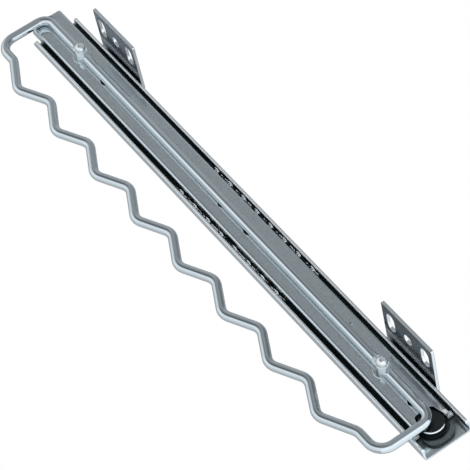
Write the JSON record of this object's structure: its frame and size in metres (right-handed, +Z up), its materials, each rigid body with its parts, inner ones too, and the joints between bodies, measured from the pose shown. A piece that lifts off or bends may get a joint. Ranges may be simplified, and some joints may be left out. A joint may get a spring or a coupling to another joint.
{
  "type": "pull-out clothes rail",
  "caption": "Ball-bearing slide that hangs under a shelf on two slotted brackets and carries a wavy wire loop, which pulls out to the front and keeps clothes hangers apart.",
  "frame": {"origin": "on the tops of the two brackets, midway between their round holes", "axes": "+X along the slide towards its rear end, so the rail pulls out along -X; +Y towards the closed back of the slide; +Z up, out of the brackets into the shelf"},
  "size_m": [0.46, 0.0438, 0.0744],
  "materials": {
    "outer_zinc": "bright zinc plate, semi-gloss",
    "inner_zinc": "bright zinc plate, semi-gloss",
    "cage_steel": "thin plated sheet, oiled",
    "ball_steel": "polished, oiled",
    "bright_wire": "bright plate over drawn wire",
    "bright_nut": "bright plate",
    "bright_bracket": "bright plate over flat sheet",
    "fastener_zinc": "bright zinc plate",
    "bumper_plastic": "black, moulded"
  },
  "bodies": {
    "frame": {"outer_channel": "outer_zinc", "front_bracket": "bright_bracket", "rear_bracket": "bright_bracket", "front_bracket_rivet_1": "fastener_zinc", "front_bracket_rivet_2": "fastener_zinc", "rear_bracket_rivet_1": "fastener_zinc", "rear_bracket_rivet_2": "fastener_zinc", "rear_bumper": "bumper_plastic"},
    "cage": {"ball_cage": "cage_steel", "lower_ball_1": "ball_steel", "lower_ball_2": "ball_steel", "lower_ball_3": "ball_steel", "lower_ball_4": "ball_steel", "lower_ball_5": "ball_steel", "lower_ball_6": "ball_steel", "lower_ball_7": "ball_steel", "lower_ball_8": "ball_steel", "upper_ball_1": "ball_steel", "upper_ball_2": "ball_steel", "upper_ball_3": "ball_steel", "upper_ball_4": "ball_steel", "upper_ball_5": "ball_steel", "upper_ball_6": "ball_steel", "upper_ball_7": "ball_steel", "upper_ball_8": "ball_steel"},
    "carriage": {"inner_channel": "inner_zinc", "hanger_wire": "bright_wire", "front_bolt": "fastener_zinc", "rear_bolt": "fastener_zinc", "front_cap_nut": "bright_nut", "rear_cap_nut": "bright_nut"}
  },
  "joints": [
    {"name": "carriage_slide", "type": "slide", "parent": "frame", "child": "carriage", "axis": [-1, 0, 0], "range_m": [0, 0.265]},
    {"name": "cage_slide", "type": "slide", "parent": "frame", "child": "cage", "axis": [-1, 0, 0], "range_m": [0, 0.1325]}
  ],
  "couplings": [
    {"joint": "cage_slide", "follows": "carriage_slide", "ratio": 0.5}
  ]
}
